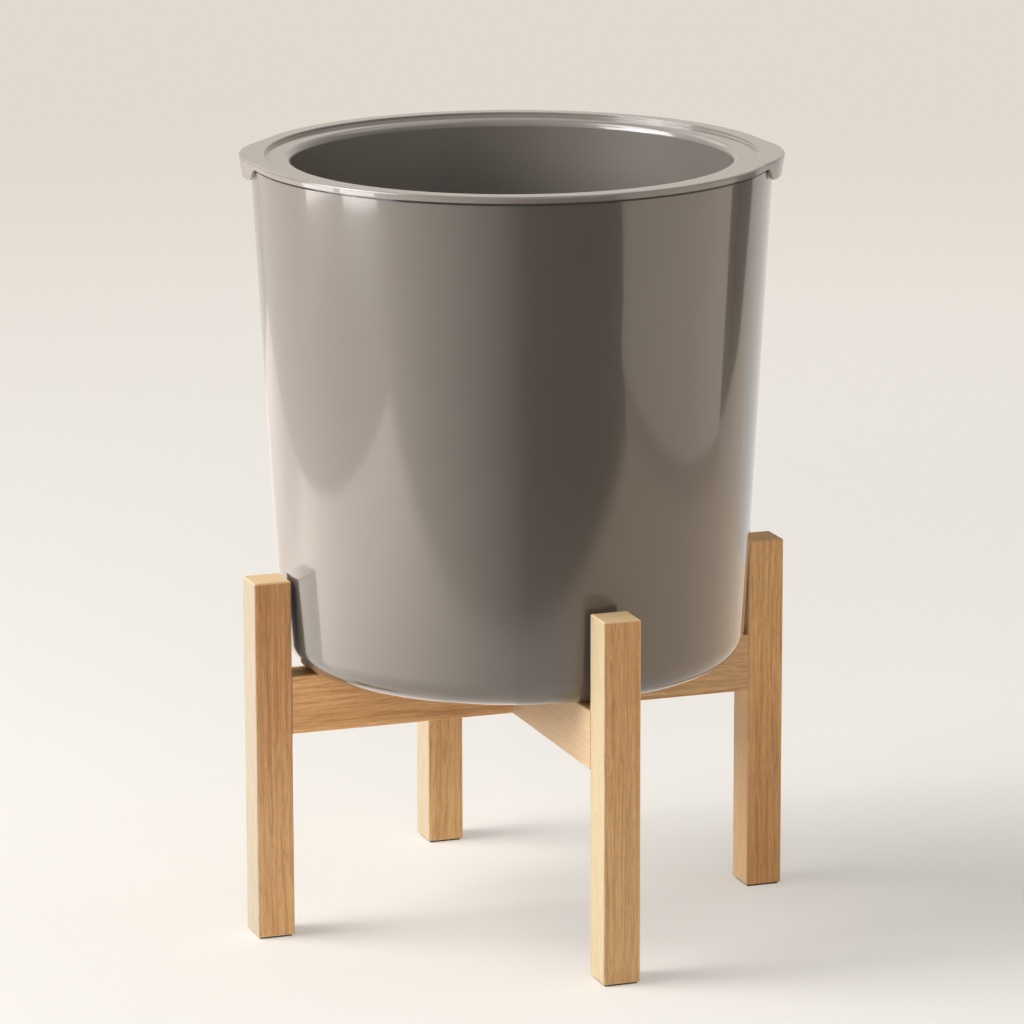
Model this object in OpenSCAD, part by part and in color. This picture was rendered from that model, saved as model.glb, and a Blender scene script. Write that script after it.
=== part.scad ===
// Round planter pot with a lift-out liner, standing in a four-legged wooden stand.
// Millimetres, +Z up. The origin is on the floor in the middle of the four legs.
// The long rail runs along X and the cross rail along Y.

/* [Stand] */
// Side of the square legs, and width of the rails
leg_side = 22; // [18:1:26]
// Height of the leg tops above the floor
leg_top_z = 210.5; // [190:0.5:240]
// Clear distance between the inner faces of two opposite legs
leg_clear_w = 280; // [278:1:310]
// Height of the rails' top faces above the floor: the pot stands on them
rail_top_z = 154.5; // [130:0.5:170]
// Height of the rails' section
rail_h = 34; // [30:1:44]
// How far the cross rail lies to the right of the long rail's middle
cross_offset = 4; // [0:0.5:8]
// Rounding of the long edges of legs and rails
wood_edge_r = 1; // [0.5:0.1:2]
// Chamfer round the ends of the legs
leg_end_chamfer = 0.8; // [0.3:0.1:1.5]
// Distance from a leg's faces to the edge of the felt pad under it
pad_inset = 1.5; // [1:0.5:4]
// Thickness of the felt pad
pad_h = 1; // [0.5:0.5:3]

/* [Joinery] */
// Diameter of the dowels that join a leg to its rail
dowel_d = 8; // [6:1:8]
// Length of a dowel, half in the leg and half in the rail
dowel_l = 30; // [20:1:32]
// Height between the two dowels of a joint
dowel_pitch = 16; // [10:1:18]
// Glue gap round a dowel, on the radius
glue_gap = 0.05; // [0.05:0.05:0.2]
// Diameter of the screw that holds the crossed rails together
screw_d = 4; // [3:0.5:5]
// Length of the screw, head included
screw_l = 28; // [22:1:28]

/* [Pot] */
// Radius of the pot at its rim
pot_rim_r = 148.6; // [140:0.2:150]
// Height of the pot
pot_h = 288.5; // [270:0.5:320]
// Slope of the pot's wall
pot_taper = 3.1; // [2.9:0.1:4]
// Thickness of the pot's wall and floor
pot_wall = 3; // [2.5:0.5:4]
// Radius of the rounded lower edge
pot_corner_r = 16; // [8:1:24]
// Depth of the recess inside the pot's foot ring
foot_recess = 1.5; // [0.5:0.5:2]
// Pot's axis to the right of the stand's middle: it stands loose, a little off centre
pot_x = -2.25; // [-3:0.25:3]
// Pot's axis behind the stand's middle
pot_y = 0.75; // [-3:0.25:3]

/* [Liner] */
// Outer radius of the flange that rests on the pot's rim
flange_r = 149.8; // [149:0.2:152]
// Height of the flange's outer crest above the pot's rim
flange_h = 4.6; // [4:0.2:6]
// Width of the raised crest round the flange
crest_w = 9.4; // [6:0.2:11]
// Step down from the crest to the flange's inner ledge
ledge_drop = 2; // [1.25:0.25:2]
// Height of the dark seam between flange and pot
seam_h = 0.8; // [0.4:0.1:1.2]
// Radius of the liner's mouth
mouth_r = 127; // [115:1:130]
// Thickness of the liner's wall and floor
liner_wall = 2.4; // [2:0.2:3]
// Slope of the liner's wall
liner_taper = 3.4; // [3:0.1:5]
// Height left free under the liner for water
water_h = 40; // [20:1:60]
// Diameter of a drain hole
drain_d = 5; // [3:0.5:6]

/* [Lifting lugs] */
// Direction of the right-hand lug, turned from +X
lug_angle = -20; // [-45:5:45]
// How far a lug reaches past the flange
lug_reach = 5.4; // [4:0.2:7]
// Radius of a lug's outline
lug_r = 79; // [70:1:90]
// Depth of the lug's lip below the flange's crest
lip_depth = 12; // [10:0.2:20]
// Width of the lip where it leaves the flange
lip_top_w = 79; // [70:1:80]
// Width of the lip at its lower edge
lip_bottom_w = 60; // [40:1:62]
// Thickness of the lip
lip_t = 2.2; // [1.6:0.2:2.4]
// How far the lip leans in towards the pot at its lower edge
lip_lean = 1.6; // [0:0.2:2]

/* [Hidden] */
$fn = 96;
// Number of facets on small round edges and on small holes
edge_fn = 24;
// Number of steps in a rounded corner of an outline, for small and for large radii
SMALL_CORNER_STEPS = 3;
LARGE_CORNER_STEPS = 8;
large_corner_r = 3;
// Extra length of a cut past the face that it goes through
cut = 1;

oak = [0.76, 0.59, 0.40];
beech = [0.82, 0.68, 0.50];
felt_brown = [0.20, 0.15, 0.11];
steel = [0.72, 0.72, 0.74];
taupe = [0.50, 0.47, 0.43];

leg_l = leg_top_z - pad_h;
pad_side = leg_side - 2 * pad_inset;
rail_l = leg_clear_w;
rail_mid_z = rail_top_z - rail_h / 2;
dowel_chamfer = 1;
// Air left at the blind end of a dowel hole or screw hole
blind_hole_rest = 0.5;

// Legs, by direction from the stand's middle: right, back, left, front
RIGHT = 0;
BACK = 90;
LEFT = 180;
FRONT = 270;

screw_head_d = 2 * screw_d;
screw_head_h = screw_head_d / 2 - screw_d / 2;
screw_tip_h = 1.5 * screw_d;
// Arms of the cross recess in the screw's head
screw_recess_w = 0.28 * screw_d;
screw_recess_l = 1.15 * screw_d;
screw_recess_h = 0.4 * screw_d;

pot_rim_z = rail_top_z + pot_h;
pot_slope = tan(pot_taper);
rim_edge_r = 0.8;
// Width of the flat ring that the pot stands on
foot_ring_w = 12;

flange_top_z = pot_rim_z + flange_h;
ledge_z = flange_top_z - ledge_drop;
liner_slope = tan(liner_taper);
pot_floor_z = rail_top_z + foot_recess + pot_wall;
liner_floor_z = pot_floor_z + water_h;
liner_corner_r = 12;
crest_r = flange_r - crest_w;
crest_edge_r = 1;
mouth_edge_r = 2.2;
// Collar under the flange that centres the liner in the pot's mouth
collar_gap = 0.8;
collar_w = 2.4;
collar_h = 6;
// Width of the flange's seat on the pot's rim
seat_w = 2.2;
// Rings of drain holes: radius and number
DRAIN_RINGS = [[0, 1], [40, 6], [80, 12]];

lug_centre = flange_r + lug_reach - lug_r;
lip_bottom_z = flange_top_z - lip_depth;
lip_corner_r = 8;
lip_edge_r = 1;
// Least gap between a lip and the pot's wall
lip_pot_gap = 0.8;

function unit(v) = v / norm(v);

// Points of an arc of radius r that rounds the corner p between a and b
function corner_arc(a, p, b, r) =
    let (
        steps = r < large_corner_r ? SMALL_CORNER_STEPS : LARGE_CORNER_STEPS,
        u = unit(a - p),
        w = unit(b - p),
        half = acos(u * w) / 2,
        c = p + unit(u + w) * r / sin(half),
        s = p + u * r / tan(half) - c,
        e = p + w * r / tan(half) - c,
        a0 = atan2(s.y, s.x),
        sweep = (atan2(e.y, e.x) - a0 + 540) % 360 - 180
    )
    [for (i = [0:steps]) let (t = a0 + sweep * i / steps) c + r * [cos(t), sin(t)]];

function flat(p) = [p.x, p.y];

// Outline through corners [x, y, radius], each rounded by its own radius
function rounded_outline(corners) =
    let (n = len(corners))
    [
        for (i = [0:n - 1])
            let (p = corners[i])
            each p[2] == 0
                ? [flat(p)]
                : corner_arc(flat(corners[(i + n - 1) % n]), flat(p), flat(corners[(i + 1) % n]), p[2])
    ];

// Rectangle with true arcs at its corners
module eased_rectangle(w, h, r) {
    square([w - 2 * r, h], center = true);
    square([w, h - 2 * r], center = true);
    for (x = [-1, 1])
        for (y = [-1, 1])
            translate([x * (w / 2 - r), y * (h / 2 - r)])
                circle(r, $fn = edge_fn);
}

// Rectangle with cut corners
module chamfered_rectangle(w, h, c) {
    polygon([
        [-w / 2 + c, 0], [w / 2 - c, 0], [w / 2, c], [w / 2, h - c],
        [w / 2 - c, h], [-w / 2 + c, h], [-w / 2, h - c], [-w / 2, c]
    ]);
}

// Both dowel positions of a joint, on the face x = 0 with the leg on the +X side
module at_dowels() {
    for (side = [-1, 1])
        translate([0, 0, rail_mid_z + side * dowel_pitch / 2])
            rotate([0, 90, 0])
                children();
}

module dowel_hole() {
    depth = dowel_l / 2 + blind_hole_rest;
    translate([0, 0, -depth])
        cylinder(h = 2 * depth, d = dowel_d + 2 * glue_gap, $fn = edge_fn);
}

module dowel() {
    r = dowel_d / 2;
    end = dowel_l / 2;
    rotate_extrude($fn = edge_fn)
        polygon([
            [0, -end], [r - dowel_chamfer, -end], [r, -end + dowel_chamfer],
            [r, end - dowel_chamfer], [r - dowel_chamfer, end], [0, end]
        ]);
}

// Moves a child from the joint plane x = 0 to the joint of one leg
module at_joint(direction) {
    on_cross_rail = direction == BACK || direction == FRONT;
    translate([on_cross_rail ? cross_offset : 0, 0, 0])
        rotate(direction)
            translate([leg_clear_w / 2, 0, 0])
                children();
}

module leg(direction) {
    color(oak)
        at_joint(direction)
            difference() {
                translate([leg_side / 2, 0, pad_h])
                    intersection() {
                        linear_extrude(leg_l)
                            eased_rectangle(leg_side, leg_side, wood_edge_r);
                        crossed_outlines()
                            chamfered_rectangle(leg_side, leg_l, leg_end_chamfer);
                    }
                at_dowels() dowel_hole();
            }
}

// Common volume of an upright outline extruded along Y and along X
module crossed_outlines() {
    intersection() {
        rotate([90, 0, 0])
            linear_extrude(leg_side, center = true)
                children();
        rotate([90, 0, 90])
            linear_extrude(leg_side, center = true)
                children();
    }
}

module foot_pad(direction) {
    color(felt_brown)
        at_joint(direction)
            translate([leg_side / 2, 0, pad_h / 2])
                cube([pad_side, pad_side, pad_h], center = true);
}

// Rail along X with its dowel holes, before the lap is cut
module rail_blank() {
    difference() {
        translate([-rail_l / 2, 0, rail_mid_z])
            rotate([90, 0, 90])
                linear_extrude(rail_l)
                    eased_rectangle(leg_side, rail_h, wood_edge_r);
        for (direction = [LEFT, RIGHT])
            rotate(direction)
                translate([leg_clear_w / 2, 0, 0])
                    at_dowels() dowel_hole();
    }
}

module rail_long() {
    color(oak)
        difference() {
            rail_blank();
            translate([cross_offset, 0, rail_top_z])
                cube([leg_side, leg_side + 2 * cut, rail_h], center = true);
            translate([cross_offset, 0, 0]) screw_hole();
        }
}

module rail_cross() {
    color(oak)
        translate([cross_offset, 0, 0])
            difference() {
                rotate(BACK) rail_blank();
                translate([0, 0, rail_top_z - rail_h])
                    cube([leg_side + 2 * cut, leg_side, rail_h], center = true);
                screw_hole();
            }
}

// Screw from beneath, on the Z axis, with a countersunk head flush with the rail
module screw_hole() {
    z0 = rail_top_z - rail_h;
    r = screw_d / 2 + glue_gap;
    head_r = screw_head_d / 2 + glue_gap;
    translate([0, 0, z0])
        rotate_extrude($fn = edge_fn)
            polygon([
                [0, -cut], [head_r + cut, -cut], [head_r, 0], [r, screw_head_h],
                [r, screw_l + blind_hole_rest], [0, screw_l + blind_hole_rest]
            ]);
}

module rail_screw() {
    r = screw_d / 2;
    color(steel)
        translate([cross_offset, 0, rail_top_z - rail_h])
            difference() {
                rotate_extrude($fn = edge_fn)
                    polygon([
                        [0, 0], [screw_head_d / 2, 0], [r, screw_head_h],
                        [r, screw_l - screw_tip_h], [0, screw_l]
                    ]);
                for (turn = [0, 90])
                    rotate(turn)
                        cube([screw_recess_l, screw_recess_w, 2 * screw_recess_h], center = true);
            }
}

module dowels() {
    color(beech)
        for (direction = [RIGHT, BACK, LEFT, FRONT])
            at_joint(direction) at_dowels() dowel();
}

// Radius at height z of a cone that has radius r at height z_r
function cone_r(r, z_r, slope, z) = r - (z_r - z) * slope;

module at_pot() {
    translate([pot_x, pot_y, 0]) children();
}

module pot() {
    outer_base_r = cone_r(pot_rim_r, pot_rim_z, pot_slope, rail_top_z);
    inner_base_r = cone_r(pot_rim_r - pot_wall, pot_rim_z, pot_slope, pot_floor_z);
    ring_in_r = outer_base_r - pot_corner_r - foot_ring_w;
    color(taupe)
        at_pot()
            rotate_extrude()
                polygon(rounded_outline([
                    [0, rail_top_z + foot_recess, 0],
                    [ring_in_r, rail_top_z + foot_recess, 0],
                    [ring_in_r + foot_recess, rail_top_z, 0],
                    [outer_base_r, rail_top_z, pot_corner_r],
                    [pot_rim_r, pot_rim_z, rim_edge_r],
                    [pot_rim_r - pot_wall, pot_rim_z, 0],
                    [inner_base_r, pot_floor_z, pot_corner_r - pot_wall],
                    [0, pot_floor_z, 0]
                ]));
}

// Flange, bucket and centring collar in one turned section
module liner_body() {
    floor_top_z = liner_floor_z + liner_wall;
    inner_base_r = cone_r(mouth_r, ledge_z, liner_slope, floor_top_z);
    outer_base_r = cone_r(mouth_r + liner_wall, ledge_z, liner_slope, liner_floor_z);
    outer_top_r = cone_r(mouth_r + liner_wall, ledge_z, liner_slope, pot_rim_z);
    collar_r = pot_rim_r - pot_wall - collar_gap;
    seat_r = pot_rim_r - pot_wall + seat_w;
    rotate_extrude()
        polygon(rounded_outline([
            [0, liner_floor_z, 0],
            [outer_base_r, liner_floor_z, liner_corner_r],
            [outer_top_r, pot_rim_z, 0],
            [collar_r - collar_w, pot_rim_z, 0],
            [collar_r - collar_w, pot_rim_z - collar_h, 0],
            [collar_r, pot_rim_z - collar_h, 0],
            [collar_r, pot_rim_z, 0],
            [seat_r, pot_rim_z, 0],
            [seat_r, pot_rim_z + seam_h, 0],
            [flange_r, pot_rim_z + seam_h, crest_edge_r / 2],
            [flange_r, flange_top_z, crest_edge_r],
            [crest_r, flange_top_z, crest_edge_r / 2],
            [crest_r, ledge_z, crest_edge_r / 2],
            [mouth_r, ledge_z, mouth_edge_r],
            [inner_base_r, floor_top_z, liner_corner_r - liner_wall],
            [0, floor_top_z, 0]
        ]));
}

// Solid round piece of the lug's outline, as thick as the flange's band
module lug_plate() {
    translate([0, 0, pot_rim_z + seam_h])
        cylinder(h = flange_h - seam_h, r = lug_r);
}

// Turned wall of the lip, leaning in towards its lower edge
module lip_ring() {
    top_z = flange_top_z - crest_edge_r;
    low_r = lug_r - lip_lean;
    rotate_extrude()
        polygon(rounded_outline([
            [lug_r - lip_t, top_z, 0],
            [low_r - lip_t, lip_bottom_z, 0],
            [low_r, lip_bottom_z, lip_edge_r],
            [lug_r, top_z, 0]
        ]));
}

// Upright outline of the lip seen from outside, as a block along X
module lip_block() {
    top_z = flange_top_z;
    band_z = pot_rim_z + seam_h;
    rotate([90, 0, 90])
        linear_extrude(flange_r + 2 * lug_reach)
            polygon(rounded_outline([
                [-lip_top_w / 2, top_z, 0],
                [-lip_top_w / 2, band_z, 0],
                [-lip_bottom_w / 2, lip_bottom_z, lip_corner_r],
                [lip_bottom_w / 2, lip_bottom_z, lip_corner_r],
                [lip_top_w / 2, band_z, 0],
                [lip_top_w / 2, top_z, 0]
            ]));
}

// Lug on the +X side of the flange
module lug() {
    difference() {
        union() {
            translate([lug_centre, 0, 0]) lug_plate();
            intersection() {
                translate([lug_centre, 0, 0]) lip_ring();
                lip_block();
            }
        }
        // Room for the flange's ledge and mouth
        translate([0, 0, pot_rim_z - cut])
            cylinder(h = flange_h + 2 * cut, r = crest_r + crest_edge_r);
        // Room for the pot's wall behind the lip
        translate([0, 0, lip_bottom_z - cut])
            cylinder(h = pot_rim_z + seam_h - lip_bottom_z + cut, r = pot_rim_r + lip_pot_gap);
    }
}

module drain_holes() {
    for (ring = DRAIN_RINGS)
        for (i = [0:ring[1] - 1])
            rotate(i * 360 / ring[1])
                translate([ring[0], 0, liner_floor_z - cut])
                    cylinder(h = liner_wall + 2 * cut, d = drain_d, $fn = edge_fn);
}

module liner() {
    color(taupe)
        at_pot()
            difference() {
                union() {
                    liner_body();
                    for (turn = [0, 180])
                        rotate(lug_angle + turn) lug();
                }
                drain_holes();
            }
}

leg(LEFT);  // leg_left
leg(FRONT);  // leg_front
leg(RIGHT);  // leg_right
leg(BACK);  // leg_back
rail_long();
rail_cross();
dowels();
rail_screw();
foot_pad(LEFT);  // foot_pad_left
foot_pad(FRONT);  // foot_pad_front
foot_pad(RIGHT);  // foot_pad_right
foot_pad(BACK);  // foot_pad_back
pot();
liner();
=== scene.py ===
"""A glossy round pot with a lift-out liner in a low oak stand, dressed around its CAD frame.

Everything is in metres, in the frame of the CAD model: +Z up, the long rail along X.
"""
import math

import bmesh
import bpy
from mathutils import Matrix, Vector


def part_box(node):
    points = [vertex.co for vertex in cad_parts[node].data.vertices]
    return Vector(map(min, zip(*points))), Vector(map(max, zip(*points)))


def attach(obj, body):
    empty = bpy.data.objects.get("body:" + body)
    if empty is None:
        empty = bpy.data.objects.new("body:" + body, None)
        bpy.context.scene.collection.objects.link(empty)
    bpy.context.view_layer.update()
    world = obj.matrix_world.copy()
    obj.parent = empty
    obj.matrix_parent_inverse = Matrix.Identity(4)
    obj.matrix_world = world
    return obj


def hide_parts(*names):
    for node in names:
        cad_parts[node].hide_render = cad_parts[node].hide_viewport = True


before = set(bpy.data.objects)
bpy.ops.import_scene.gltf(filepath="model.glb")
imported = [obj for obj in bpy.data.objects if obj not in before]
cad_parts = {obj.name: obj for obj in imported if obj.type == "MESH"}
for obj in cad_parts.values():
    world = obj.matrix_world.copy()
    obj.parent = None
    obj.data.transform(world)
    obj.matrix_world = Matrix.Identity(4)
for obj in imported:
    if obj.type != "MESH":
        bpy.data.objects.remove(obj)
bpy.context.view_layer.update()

MM = 0.001

# ---------------------------------------------------------------- sizes, in millimetres

# Places that come from the frame
pot_low, pot_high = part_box("pot")
liner_low, liner_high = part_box("liner")
POT_AXIS = (pot_low + pot_high) / 2
POT_BASE_Z = pot_low.z / MM
POT_RIM_Z = pot_high.z / MM
POT_RIM_R = (pot_high.x - pot_low.x) / 2 / MM
FLANGE_TOP_Z = liner_high.z / MM
LINER_BASE_Z = liner_low.z / MM

# Pot
POT_TAPER = math.tan(math.radians(3.1))
POT_WALL = 3
POT_CORNER_R = 16
FOOT_RING_W = 12
FOOT_RECESS = 1.5
FOOT_EDGE_R = 0.6
RIM_EDGE_R = 0.3
RIM_INNER_EDGE_R = 0.4

# Liner: flange, ledge, mouth and bucket
FLANGE_R = 149.8
SEAM_H = 1.0
CREST_W = 9.4
LEDGE_DROP = 2
MOUTH_R = 125.6
MOUTH_EDGE_R = 4
LINER_TAPER = math.tan(math.radians(3.0))
LINER_WALL = 2.4
LINER_CORNER_R = 12
SEAT_W = 0.8
COLLAR_GAP = 0.8
COLLAR_W = 2.4
COLLAR_H = 6

# Roundings of the liner's edges
COLLAR_EDGE_R = 0.5
NECK_EDGE_R = 0.6
FLANGE_EDGE_R = 1
CREST_EDGE_R = 0.6
SKIRT_EDGE_R = 0.15
SKIRT_INNER_EDGE_R = 0.4

# Drain holes in the liner's floor: the radius of each ring of them, and how many it has
DRAIN_RINGS = [(0, 1), (40, 6), (80, 12)]
DRAIN_R = 2.5
DRAIN_STEPS = 24
# Radius of the flat part of the floor that holds them
FLAT_FLOOR_R = 88

# Lifting lugs
LUG_ANGLE = math.radians(-20)
LUG_REACH = 5.4
LUG_R = 79
LUG_BLEND = 2.5
LIP_DEPTH = 12
LIP_TOP_W = 79
LIP_BOTTOM_W = 60
LIP_T = 2.2
LIP_LEAN = 1.6
LIP_CORNER = 3.3
LIP_POT_GAP = 0.8
SKIRT_IN_R = 148.4
# Distance from the crest within which the flange stays round
LUG_START = 1.5
# Height beside an edge within which a vertex belongs to that edge
EDGE_REACH = 1.2
# Height under the lips from which the liner is left as it was turned
LIP_MARGIN = 1
# Share of the skirt's thickness that counts as its inner wall
INNER_WALL_SHARE = 0.35
# Allowance for rounding in the vertices' places
NUDGE = 0.01

# Distance of the holding rows beside a rounded corner, and of the rows along a straight run
HOLD = 0.25
ROW = 18
# Fineness of the roundings and of the turning
ARC_STEPS_PER_MM = 0.75
LEAST_ARC_STEPS = 4
TURN_STEPS = 256
LUG_TURN_STEPS = 512
# Vertices nearer than this are welded
WELD = 0.01
SHARP_ANGLE = math.radians(35)

BAND_Z = POT_RIM_Z + SEAM_H
LEDGE_Z = FLANGE_TOP_Z - LEDGE_DROP
LIP_BOTTOM_Z = FLANGE_TOP_Z - LIP_DEPTH
CREST_R = FLANGE_R - CREST_W
LUG_CENTRE = FLANGE_R + LUG_REACH - LUG_R


# ---------------------------------------------------------------- turned shapes


def cone_r(r, z_r, slope, z):
    """Radius at height z of a cone that has radius r at height z_r."""
    return r - (z_r - z) * slope


def rounded_corner(before, corner, after, radius):
    """Points of an arc that rounds a corner of an outline, with a holding point at each end."""
    u = (before - corner).normalized()
    w = (after - corner).normalized()
    half = math.acos(max(-1, min(1, u.dot(w)))) / 2
    tangent = radius / math.tan(half)
    centre = corner + (u + w).normalized() * radius / math.sin(half)
    start = corner + u * tangent - centre
    sweep = start.angle_signed(corner + w * tangent - centre)
    steps = max(LEAST_ARC_STEPS, round(radius * ARC_STEPS_PER_MM))
    arc = [centre + Matrix.Rotation(-sweep * i / steps, 2) @ start for i in range(steps + 1)]
    return [corner + u * (tangent + HOLD), *arc, corner + w * (tangent + HOLD)]


def outline(corners):
    """Open outline through corners (radius, height, rounding), in millimetres."""
    points = [Vector(c[:2]) for c in corners]
    line = []
    for i, (r, z, rounding) in enumerate(corners):
        if rounding:
            line += rounded_corner(points[i - 1], points[i], points[i + 1], rounding)
        else:
            line.append(points[i])
    return line


def with_rows(line):
    """The outline with extra points along its long straight runs."""
    full = [line[0]]
    for point in line[1:]:
        last = full[-1]
        rows = max(1, round((point - last).length / ROW))
        full += [last.lerp(point, i / rows) for i in range(1, rows + 1)]
    return full


def turned(corners, steps):
    """Bmesh of an outline turned round the pot's axis."""
    bm = bmesh.new()
    verts = [bm.verts.new((p.x * MM, 0, p.y * MM)) for p in with_rows(outline(corners))]
    edges = [bm.edges.new(pair) for pair in zip(verts, verts[1:])]
    bmesh.ops.spin(
        bm, geom=verts + edges, cent=(0, 0, 0), axis=(0, 0, 1),
        angle=2 * math.pi, steps=steps, use_merge=True,
    )
    bmesh.ops.remove_doubles(bm, verts=bm.verts, dist=WELD * MM)
    return bm


def finished(bm, name):
    """Makes a bmesh a smooth-shaded object with its corners kept sharp."""
    bmesh.ops.remove_doubles(bm, verts=bm.verts, dist=WELD * MM)
    bmesh.ops.dissolve_degenerate(bm, edges=bm.edges, dist=WELD * MM)
    bmesh.ops.recalc_face_normals(bm, faces=bm.faces)
    mesh = bpy.data.meshes.new(name)
    bm.to_mesh(mesh)
    bm.free()
    mesh.shade_smooth()
    mesh.set_sharp_from_angle(angle=SHARP_ANGLE)
    piece = bpy.data.objects.new(name, mesh)
    bpy.context.scene.collection.objects.link(piece)
    return piece


def place_on_pot_axis(bm):
    """Moves a turned shape from the origin to the pot's axis."""
    bmesh.ops.translate(bm, verts=bm.verts, vec=(POT_AXIS.x, POT_AXIS.y, 0))


# ---------------------------------------------------------------- pot


def make_pot():
    """The pot: wall, rounded lower edge, and a floor that is recessed inside a foot ring."""
    base_r = cone_r(POT_RIM_R, POT_RIM_Z, POT_TAPER, POT_BASE_Z)
    floor_z = POT_BASE_Z + FOOT_RECESS + POT_WALL
    inner_base_r = cone_r(POT_RIM_R - POT_WALL, POT_RIM_Z, POT_TAPER, floor_z)
    ring_in_r = base_r - POT_CORNER_R - FOOT_RING_W
    bm = turned(
        [
            (0, POT_BASE_Z + FOOT_RECESS, 0),
            (ring_in_r, POT_BASE_Z + FOOT_RECESS, FOOT_EDGE_R),
            (ring_in_r + FOOT_RECESS, POT_BASE_Z, FOOT_EDGE_R),
            (base_r, POT_BASE_Z, POT_CORNER_R),
            (POT_RIM_R, POT_RIM_Z, RIM_EDGE_R),
            (POT_RIM_R - POT_WALL, POT_RIM_Z, RIM_INNER_EDGE_R),
            (inner_base_r, floor_z, POT_CORNER_R - POT_WALL),
            (0, floor_z, 0),
        ],
        TURN_STEPS,
    )
    place_on_pot_axis(bm)
    return finished(bm, "pot_shell")


# ---------------------------------------------------------------- liner


def lug_outline_r(turn):
    """Radius of the flange's outer edge, where turn is measured from a lug's middle."""
    chord = LUG_R**2 - (LUG_CENTRE * math.sin(turn)) ** 2
    if math.cos(turn) < 0 or chord < 0:
        return FLANGE_R
    lobe = LUG_CENTRE * math.cos(turn) + math.sqrt(chord)
    blend = max(LUG_BLEND - abs(lobe - FLANGE_R), 0) ** 2 / (4 * LUG_BLEND)
    return max(lobe, FLANGE_R) + blend


def lip_drop(across):
    """How far the lip hangs below the flange's band, at a distance across from its middle."""
    full = BAND_Z - LIP_BOTTOM_Z
    slope = full / (LIP_TOP_W - LIP_BOTTOM_W) * 2
    drop = slope * (LIP_TOP_W / 2 - abs(across))
    blend = max(LIP_CORNER - abs(drop - full), 0) ** 2 / (4 * LIP_CORNER)
    return max(min(drop, full) - blend, 0)


def shape_lugs(bm):
    """Draws the turned flange out to its two lugs and shortens its skirt to their lips."""
    start_r = CREST_R + LUG_START
    full_r = FLANGE_R - FLANGE_EDGE_R
    for v in bm.verts:
        r = math.hypot(v.co.x, v.co.y) / MM
        z = v.co.z / MM
        around = math.atan2(v.co.y, v.co.x)
        if r <= start_r or z < LIP_BOTTOM_Z - LIP_MARGIN:
            continue
        turn = (around - LUG_ANGLE + math.pi / 2) % math.pi - math.pi / 2
        edge_r = lug_outline_r(turn)
        drop = lip_drop(edge_r * math.sin(turn))
        on_skirt = r >= SKIRT_IN_R - NUDGE and z < BAND_Z + EDGE_REACH
        if on_skirt:
            in_r = max(edge_r - LIP_T, POT_RIM_R + LIP_POT_GAP) if drop else SKIRT_IN_R
            across = (r - SKIRT_IN_R) / (FLANGE_R - SKIRT_IN_R)
            r = in_r + across * (edge_r - in_r)
            on_inner_wall = across < INNER_WALL_SHARE
            lifted = z + BAND_Z - LIP_BOTTOM_Z - drop
            if z < LIP_BOTTOM_Z + EDGE_REACH:
                z = min(lifted, BAND_Z) if on_inner_wall else lifted
            elif on_inner_wall:
                z = max(min(z, BAND_Z), BAND_Z - drop)
            r -= LIP_LEAN * max(BAND_Z - z, 0) / (BAND_Z - LIP_BOTTOM_Z)
        elif r > SKIRT_IN_R - NUDGE or z > BAND_Z + EDGE_REACH:
            share = (r - start_r) / (full_r - start_r)
            r += min(share, 1) * (edge_r - FLANGE_R)
        v.co = (r * math.cos(around) * MM, r * math.sin(around) * MM, z * MM)


def floor_with_drains(bm, top_z):
    """Closes the ring left open in the liner's floor, with drain holes through it."""
    for ring_r, count in DRAIN_RINGS:
        for i in range(count):
            around = Matrix.Rotation(2 * math.pi * i / count, 4, "Z")
            spot = around @ Matrix.Translation((ring_r * MM, 0, top_z * MM))
            rim = bmesh.ops.create_circle(
                bm, segments=DRAIN_STEPS, radius=DRAIN_R * MM, matrix=spot
            )
            edges = list(dict.fromkeys(edge for v in rim["verts"] for edge in v.link_edges))
            wall = bmesh.ops.extrude_edge_only(bm, edges=edges)["geom"]
            low = [part for part in wall if isinstance(part, bmesh.types.BMVert)]
            bmesh.ops.translate(bm, verts=low, vec=(0, 0, (LINER_BASE_Z - top_z) * MM))
    for level in (top_z, LINER_BASE_Z):
        rims = [
            edge for edge in bm.edges
            if edge.is_boundary and abs(edge.verts[0].co.z - level * MM) < NUDGE * MM
        ]
        bmesh.ops.triangle_fill(bm, edges=rims, use_beauty=True, use_dissolve=False)


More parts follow.
